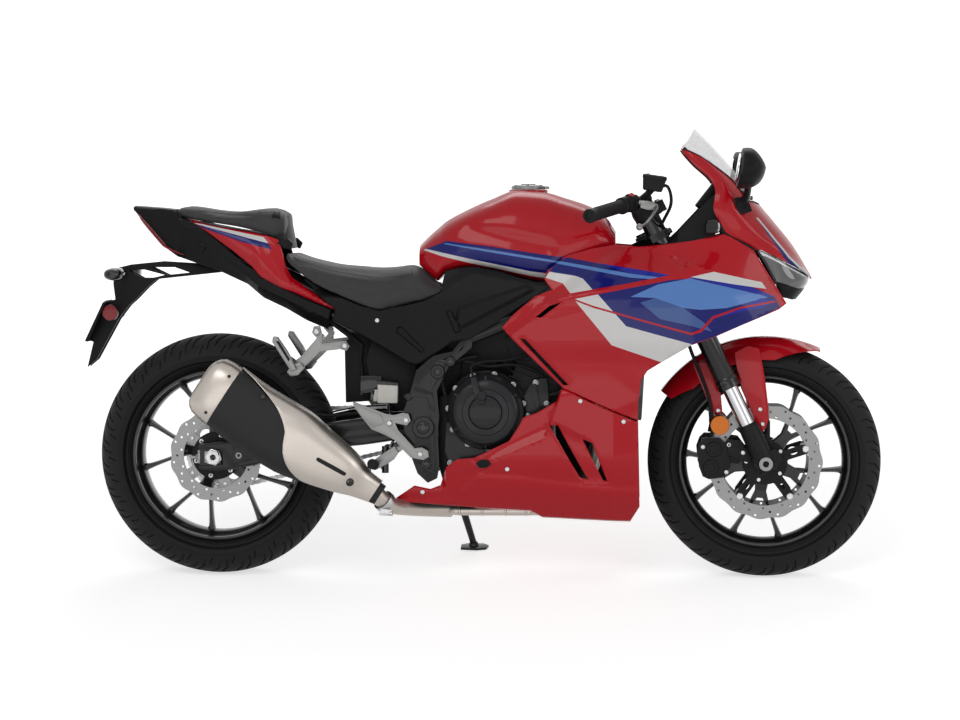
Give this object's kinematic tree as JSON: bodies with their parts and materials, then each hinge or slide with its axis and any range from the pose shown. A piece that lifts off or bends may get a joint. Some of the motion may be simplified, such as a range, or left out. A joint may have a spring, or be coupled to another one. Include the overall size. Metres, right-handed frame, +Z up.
{
  "type": "sport bike",
  "caption": "Faired sport motorcycle leaning on its side stand, with steering fork, spoked wheels, chain drive, seats, tank cap lid and single side silencer.",
  "frame": {"origin": "middle of the bounding box on the floor, with the bike leaning 10 degrees to its left on its side stand", "axes": "+X forward, +Y to the rider's left, +Z up"},
  "size_m": [2.055, 0.809, 1.1469],
  "materials": {
    "frame_black": "satin black",
    "bare_alloy": "satin",
    "dark_alloy": "dark grey cast",
    "engine_alloy": "dark painted casting",
    "steel": "satin steel",
    "chrome": "polished",
    "red_panel": "gloss red with blue and white stripes",
    "black_plastic": "satin black moulded",
    "silencer_grey": "matt dark grey",
    "warm_silver": "warm silver",
    "seat_cover": "textured vinyl",
    "tyre": "matt",
    "rim_grey": "satin dark grey",
    "lamp": "clear lens",
    "red_lens": "red lens",
    "smoke_screen": "smoked"
  },
  "bodies": {
    "chassis": {"frame_left": "frame_black", "frame_right": "frame_black", "steering_head": "frame_black", "subframe": "frame_black", "swingarm": "frame_black", "engine": "engine_alloy", "engine_covers": "engine_alloy", "radiator": "black_plastic", "exhaust_pipes": "steel", "silencer": "silencer_grey", "silencer_guard": "warm_silver", "fuel_tank": "red_panel", "rider_seat": "seat_cover", "pillion_seat": "seat_cover", "tail_cowl": "black_plastic", "tail_panels": "red_panel", "tail_light": "red_lens", "plate_hanger": "black_plastic", "rear_indicators": "black_plastic", "side_covers": "black_plastic", "fairing_left": "red_panel", "fairing_right": "red_panel", "belly_left": "red_panel", "belly_right": "red_panel", "nose_cowl": "red_panel", "headlights": "lamp", "windscreen": "smoke_screen", "cockpit": "black_plastic", "mirrors": "black_plastic", "footpegs": "bare_alloy", "chain": "steel", "rear_shock": "frame_black", "rear_axle": "steel", "rear_brake": "dark_alloy"},
    "steering": {"yokes": "dark_alloy", "fork_left": "chrome", "fork_right": "chrome", "handlebars": "dark_alloy", "controls": "black_plastic", "front_fender": "red_panel", "front_axle": "steel", "front_brakes": "dark_alloy"},
    "front_wheel": {"front_tyre": "tyre", "front_rim": "rim_grey", "front_discs": "steel"},
    "rear_wheel": {"rear_tyre": "tyre", "rear_rim": "rim_grey", "rear_disc": "steel"},
    "side_stand": {"side_stand": "frame_black"},
    "fuel_cap": {"fuel_cap": "bare_alloy"}
  },
  "joints": [
    {"name": "steering", "type": "hinge", "parent": "chassis", "child": "steering", "pos_m": [0.46141, -0.03993, 0.76099], "axis": [-0.4305, 0.1567, 0.8889], "range_deg": [-30, 30]},
    {"name": "front_wheel", "type": "hinge", "parent": "steering", "child": "front_wheel", "pos_m": [0.7275, -0.12185, 0.29644], "axis": [0, 0.9848, -0.1736], "continuous": true},
    {"name": "rear_wheel", "type": "hinge", "parent": "chassis", "child": "rear_wheel", "pos_m": [-0.6825, -0.11971, 0.30856], "axis": [0, 0.9848, -0.1736], "continuous": true},
    {"name": "side_stand", "type": "hinge", "parent": "chassis", "child": "side_stand", "pos_m": [-0.0775, 0.007, 0.1864], "axis": [0.1699, 0.935, 0.3115], "range_deg": [0, 99]},
    {"name": "fuel_cap", "type": "hinge", "parent": "chassis", "child": "fuel_cap", "pos_m": [0.1685, -0.00003, 0.98728], "axis": [0, 0.9848, -0.1736], "range_deg": [0, 95]}
  ]
}
